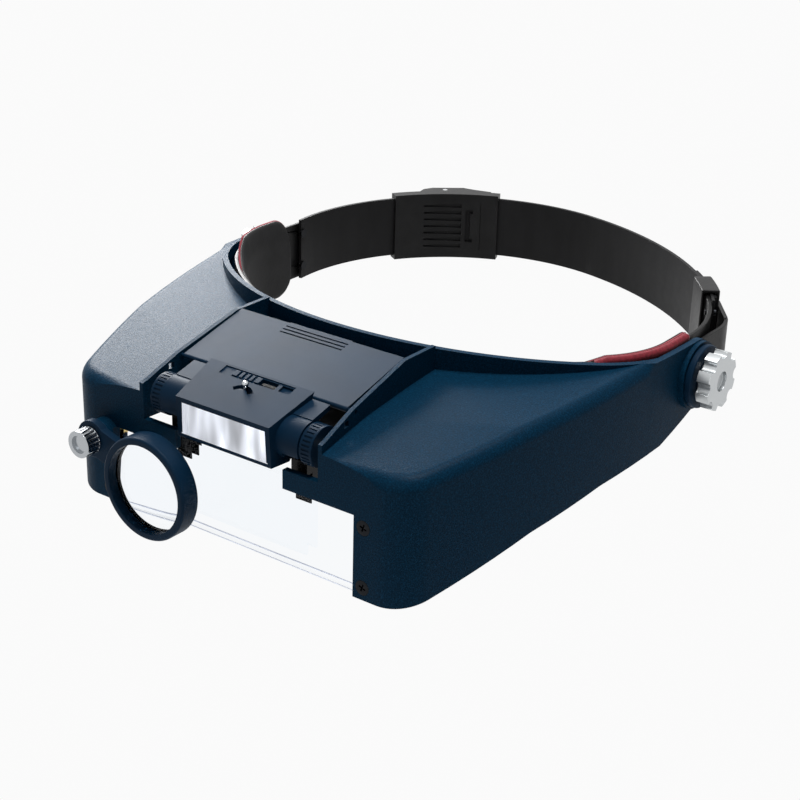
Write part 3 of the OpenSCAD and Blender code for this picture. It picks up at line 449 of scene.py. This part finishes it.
def visor_look():
    """A copy of the visor shell whose roof runs over into the walls with a wide radius."""
    mesh = nodes["visor_shell"].data.copy()
    piece = bpy.data.objects.new("visor_moulding", mesh)
    bpy.context.collection.objects.link(piece)
    bm = bmesh.new()
    bm.from_mesh(mesh)
    bmesh.ops.remove_doubles(bm, verts=bm.verts, dist=mm(0.003))
    bmesh.ops.dissolve_limit(bm, angle_limit=FLAT, verts=bm.verts, edges=bm.edges)
    ridge = [edge for edge in bm.edges if on_ridge(edge)]
    bmesh.ops.bevel(bm, geom=ridge, offset=mm(RIDGE_WIDTH), offset_type="OFFSET",
                    segments=RIDGE_SEGMENTS, profile=0.5, affect="EDGES",
                    clamp_overlap=False, loop_slide=True)
    bmesh.ops.triangulate(bm, faces=[face for face in bm.faces if len(face.verts) > 4])
    bm.to_mesh(mesh)
    bm.free()
    round_edges(piece, VISOR_EDGE)
    dress(piece, "textured")
    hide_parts("visor_shell")
    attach(piece, "visor")


visor_look()


# closed skins over rings of points


def skin(name, rings, smooth):
    """A closed piece over rings with the same number of points, capped at both ends."""
    bm = bmesh.new()
    rings = [[bm.verts.new(point) for point in ring] for ring in rings]
    count = len(rings[0])
    for a, b in zip(rings, rings[1:]):
        for k in range(count):
            after = (k + 1) % count
            bm.faces.new((a[k], a[after], b[after], b[k]))
    bm.faces.new(list(reversed(rings[0])))
    bm.faces.new(rings[-1])
    bmesh.ops.recalc_face_normals(bm, faces=bm.faces)
    mesh = bpy.data.meshes.new(name)
    bm.to_mesh(mesh)
    bm.free()
    for face in mesh.polygons:
        face.use_smooth = smooth
    obj = bpy.data.objects.new(name, mesh)
    bpy.context.collection.objects.link(obj)
    return obj


def quarter_round(share):
    """Height of a quarter circle at a share of its width, level from there on."""
    return math.sqrt(max(0.0, 1 - (1 - min(1.0, share)) ** 2))


# forehead pad and lining

PATH_STEPS = 300
# how far the ends of the pieces stay in front of the pad's rear end
CUSHION_END = 0.3
LINING_END = 0.8
HEM_END = 2.5

# foam: its thickness at the top edge, and the heights over which it fills out and rounds off
FOAM_EDGE_T = 1.2
FOAM_FILL = 9.0
FOAM_ROUND_TOP = 0.8
FOAM_ROUND_LOW = 2.4
FOAM_LEAST_T = 0.02
FOAM_STEPS = 24
# outer face of the foam: its gap to the band, and how its lower edge draws in
FOAM_GAP = 0.03
FOAM_TUCK = 0.35
FOAM_TUCK_H = 2.0

LINING_GAP = 0.04
LINING_SHEET_T = 0.9 * LINING_T

# hem over the band: how far it stands out, hangs down and has its seam, at its full size
HEM_OUT = 0.95
HEM_DROP = 4.6
HEM_SEAM = 1.5
HEM_LEAST = 0.06
HEM_FULL_H = 1.3
HEM_GAP = 0.08
HEM_FRONT = -39.7
# centre and height of the hem's rolled top, next to the band's outer face and under the pad's top
ROLL_IN = 0.6
ROLL_UNDER = 1.15
ROLL_H = 1.2
ROLL_STEPS = 8
# seam groove: height and depth
SEAM_GROOVE = ((-0.7, 0.0), (-0.3, 0.2), (0.0, 0.62), (0.3, 0.2), (0.7, 0.0))


def band_path(end_y):
    """Points and outward directions in plan along the forehead, from right temple to left."""
    side_x, reach = BAND_HALF - BAND_SIDE_R, BAND_FRONT - BAND_SIDE_R
    # centre of the wide front arc, which touches both side arcs
    front_y = (side_x ** 2 + BAND_SIDE_Y ** 2 - reach ** 2) / (2 * (reach + BAND_SIDE_Y))
    front_r = front_y + BAND_FRONT
    turn = math.atan2(side_x, front_y - BAND_SIDE_Y)
    straight = end_y - BAND_SIDE_Y
    bend = BAND_SIDE_R * (math.pi / 2 - turn)
    half = straight + bend + front_r * turn
    path = []
    for i in range(PATH_STEPS + 1):
        s = -half + 2 * half * i / PATH_STEPS
        side = 1 if s >= 0 else -1
        t = half - abs(s)
        if t <= straight:
            out, centre, r = (1.0, 0.0), (side_x, end_y - t), BAND_SIDE_R
        elif t <= straight + bend:
            a = -(t - straight) / BAND_SIDE_R
            out, centre, r = (math.cos(a), math.sin(a)), (side_x, BAND_SIDE_Y), BAND_SIDE_R
        else:
            a = -math.pi / 2 + abs(s) / front_r
            out, centre, r = (math.cos(a), math.sin(a)), (0.0, front_y), front_r
        path.append((side * (centre[0] + r * out[0]), centre[1] + r * out[1], side * out[0], out[1]))
    return path


def pad_heights(x, y, inset):
    """Lowest and highest point of the pad at a place in plan, rounded at its ends."""
    start, end = PAD_RISE
    share = min(1.0, max(0.0, (y - start) / (end - start)))
    cut = PAD_ROUND * (1 - quarter_round((PAD_REAR - inset - y) / PAD_ROUND))
    top = min(PAD_BROW + (PAD_TOP - PAD_BROW) * share, PAD_MID - x * PAD_ROLL, PAD_TOP - cut)
    return PAD_LOW + inset + cut, top - inset


def cushion_section(low, top):
    """Foam with a flat outer face, a full inner face and a thin rolled top edge."""
    outer, inner = [], []
    for k in range(FOAM_STEPS + 1):
        share = 0.5 - 0.5 * math.cos(math.pi * k / FOAM_STEPS)
        below, above = (top - low) * share, (top - low) * (1 - share)
        z = low + below
        full = math.sin(math.pi / 2 * min(1.0, above / FOAM_FILL))
        t = FOAM_EDGE_T + (PAD_T - FOAM_EDGE_T) * full
        t *= quarter_round(below / FOAM_ROUND_LOW) * quarter_round(above / FOAM_ROUND_TOP)
        face = -BAND_T - FOAM_GAP - FOAM_TUCK * (1 - min(1.0, below / FOAM_TUCK_H)) ** 2
        outer.append((face, z))
        inner.append((face - FOAM_LEAST_T - max(t, FOAM_LEAST_T), z))
    return outer + inner[::-1]


def lining_section(low, top):
    """Thin skin that follows the inner face of the foam, short of its ends."""
    foam = cushion_section(low - LINING_INSET, top + LINING_INSET)
    inner = foam[FOAM_STEPS + 2:-1][::-1]
    near = [(w - LINING_GAP, z) for w, z in inner]
    return near + [(w - LINING_SHEET_T, z) for w, z in inner[::-1]]


def hem_section(low, top):
    """Top hem of the foam cover, turned outward over the band, with a seam groove.

    Its lower edge hangs from the band's top, so the pad's own lowest point has no part in it.
    """
    full = min(1.0, max(HEM_LEAST, (top - BAND_TOP - 0.1) / HEM_FULL_H))
    bottom = BAND_TOP - HEM_DROP * full
    seam = BAND_TOP - HEM_SEAM * full
    points = [(0.07, bottom + 0.3 * full), (0.35, bottom), (0.7, bottom + 0.25 * full),
              (HEM_OUT - 0.05, bottom + 0.9 * full)]
    points += [(HEM_OUT - depth, seam + height * full) for height, depth in SEAM_GROOVE]
    for k in range(ROLL_STEPS + 1):
        a = math.pi * k / ROLL_STEPS
        points.append((-ROLL_IN + (HEM_OUT + ROLL_IN) * math.cos(a),
                       top - ROLL_UNDER + ROLL_H * math.sin(a)))
    # back over the band's top edge, from its inner face to its outer one
    points += [(-BAND_T - 0.7, BAND_TOP + 0.1), (-BAND_T + 0.02, BAND_TOP + HEM_GAP),
               (0.04, BAND_TOP + HEM_GAP)]
    return points


def skin_path(name, path, section, inset=0.0):
    """Skins a section that changes along the forehead."""
    rings = []
    for x, y, dx, dy in path:
        low, top = pad_heights(x, y, inset)
        rings.append([mm(x + dx * w, y + dy * w, z) for w, z in section(low, top)])
    return skin(name, rings, smooth=True)


def pad_look():
    pad = skin_path("forehead_cushion", band_path(PAD_REAR - CUSHION_END), cushion_section)
    dress(pad, "red")
    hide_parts("forehead_pad")
    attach(pad, "headband")
    # the hem is turned over the band on the wearer's left only
    temple = [p for p in band_path(PAD_REAR - HEM_END) if p[0] > 0 and p[1] > HEM_FRONT]
    hem = skin_path("cushion_hem", temple, hem_section)
    dress(hem, "red")
    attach(hem, "headband")
    path = band_path(PAD_REAR - LINING_END)
    lining = skin_path("lining_sheet", path, lining_section, LINING_INSET)
    dress(lining, "lining")
    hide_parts("pad_lining")
    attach(lining, "headband")


pad_look()


# painted highlight along the lower edges of the main lens: thin glowing strips

GLOW_LINE_HALF = WINDOW_HALF - 0.6
GLOW_LINE_STEPS = 60
GLOW_LINE_SIDES = 6
GLOW_LINE_END = 0.35  # share of the radius that is left at the ends


def lens_edge(name, y, radius):
    """Thin glowing strip along the bottom of the lens, a painted highlight in place of the line of
    light that the lens edge catches.
    """
    z = LENS_BOTTOM + radius + 0.05
    angles = [2 * math.pi * k / GLOW_LINE_SIDES for k in range(GLOW_LINE_SIDES)]
    rings = []
    for i in range(GLOW_LINE_STEPS + 1):
        t = 2 * i / GLOW_LINE_STEPS - 1
        r = radius * (GLOW_LINE_END + (1 - GLOW_LINE_END) * math.sqrt(1 - t ** 8))
        rings.append([mm(t * GLOW_LINE_HALF, y + r * math.cos(a), z + r * math.sin(a))
                      for a in angles])
    edge = skin(name, rings, smooth=False)
    # painted highlight: the strip takes the glowing light grey
    dress(edge, "painted_glow_line")
    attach(edge, "visor")


# two painted highlight lines, near the front and the rear face of the lens
lens_edge("lens_glow_line_front", LENS_FRONT + 0.4, 0.16)
lens_edge("lens_glow_line_rear", LENS_FRONT + LENS_T - 0.5, 0.22)


# camera, light and stage

# solved from the photo
CAMERA_AT = mm(323.58, -484.27, 217.25)
CAMERA_AZIMUTH = math.radians(36.0009)
CAMERA_ELEVATION = math.radians(23.5794)
CAMERA_ROLL = math.radians(1.5634)
CAMERA_LENS = 75.824
CAMERA_SENSOR = 36.0
CAMERA_CLIP = 0.01

LIGHT_AIM = mm(0, -40, 0)
# direction from the object, distance, size and power
LIGHTS = {
    "key_left": ((-0.84, 0.42, 0.47), 0.56, (0.3, 0.28), 6.6),
    "top": ((0.1, 0.0, 1.0), 0.9, (0.4, 0.4), 10),
    "front": ((0.1, -0.8, 0.35), 1.2, (0.5, 0.5), 1.2),
}

# stage: a dim sky and a floor that the camera sees as white
SKY_COLOUR = (0.8, 0.82, 0.86, 1)
SKY_STRENGTH = 0.08
FLOOR_HALF = 6.0
FLOOR_Z = -0.16
FLOOR_GREY = (0.9, 0.9, 0.9, 1)
FLOOR_ROUGHNESS = 0.8
FLOOR_WHITE = 0.96


def look_camera():
    az, el, ro = CAMERA_AZIMUTH, CAMERA_ELEVATION, CAMERA_ROLL
    back = Vector((math.sin(az) * math.cos(el), -math.cos(az) * math.cos(el), math.sin(el)))
    level = Vector((math.cos(az), math.sin(az), 0.0))
    upright = back.cross(level)
    right = level * math.cos(ro) + upright * math.sin(ro)
    up = upright * math.cos(ro) - level * math.sin(ro)
    data = bpy.data.cameras.new("camera")
    data.sensor_width = CAMERA_SENSOR
    data.lens = CAMERA_LENS
    data.clip_start = CAMERA_CLIP
    camera = bpy.data.objects.new("camera", data)
    camera.matrix_world = Matrix((
        (right.x, up.x, back.x, CAMERA_AT.x),
        (right.y, up.y, back.y, CAMERA_AT.y),
        (right.z, up.z, back.z, CAMERA_AT.z),
        (0, 0, 0, 1),
    ))
    bpy.context.collection.objects.link(camera)
    bpy.context.scene.camera = camera


def area_light(name, direction, distance, size, power):
    """A softbox that looks at the object from a direction."""
    data = bpy.data.lights.new(name, "AREA")
    data.shape = "RECTANGLE"
    data.size, data.size_y = size
    data.energy = power
    light = bpy.data.objects.new(name, data)
    towards = Vector(direction).normalized()
    light.location = towards * distance + LIGHT_AIM
    light.rotation_euler = towards.to_track_quat("Z", "Y").to_euler()
    bpy.context.collection.objects.link(light)


def seen_white(tree, shader_out, target, emitter, strength):
    """Camera, glossy and transmitted rays see plain white; other rays see the shader."""
    path = tree.nodes.new("ShaderNodeLightPath")
    seen = path.outputs["Is Camera Ray"]
    for kind in ("Is Glossy Ray", "Is Transmission Ray"):
        either = tree.nodes.new("ShaderNodeMath")
        either.operation = "MAXIMUM"
        tree.links.new(seen, either.inputs[0])
        tree.links.new(path.outputs[kind], either.inputs[1])
        seen = either.outputs[0]
    white = tree.nodes.new(emitter)
    white.inputs["Color"].default_value = (1, 1, 1, 1)
    white.inputs["Strength"].default_value = strength
    mix = tree.nodes.new("ShaderNodeMixShader")
    tree.links.new(seen, mix.inputs["Fac"])
    tree.links.new(shader_out, mix.inputs[1])
    tree.links.new(white.outputs[0], mix.inputs[2])
    tree.links.new(mix.outputs[0], target)


def look_world():
    world = bpy.data.worlds.new("studio")
    world.use_nodes = True
    tree = world.node_tree
    sky = tree.nodes["Background"]
    sky.inputs["Color"].default_value = SKY_COLOUR
    sky.inputs["Strength"].default_value = SKY_STRENGTH
    surface = tree.nodes["World Output"].inputs["Surface"]
    seen_white(tree, sky.outputs[0], surface, "ShaderNodeBackground", 1.0)
    bpy.context.scene.world = world


def look_floor():
    mesh = bpy.data.meshes.new("floor")
    corners = [(x * FLOOR_HALF, y * FLOOR_HALF, FLOOR_Z)
               for x, y in ((-1, -1), (1, -1), (1, 1), (-1, 1))]
    mesh.from_pydata(corners, [], [(0, 1, 2, 3)])
    floor = bpy.data.objects.new("floor", mesh)
    bpy.context.collection.objects.link(floor)
    mat = bpy.data.materials.new("floor_white")
    mat.use_nodes = True
    tree = mat.node_tree
    bsdf = tree.nodes["Principled BSDF"]
    bsdf.inputs["Base Color"].default_value = FLOOR_GREY
    bsdf.inputs["Roughness"].default_value = FLOOR_ROUGHNESS
    surface = tree.nodes["Material Output"].inputs["Surface"]
    seen_white(tree, bsdf.outputs[0], surface, "ShaderNodeEmission", FLOOR_WHITE)
    mesh.materials.append(mat)


look_camera()
look_world()
look_floor()
for light_name, settings in LIGHTS.items():
    area_light(light_name, *settings)
bpy.context.scene.view_settings.view_transform = "Standard"
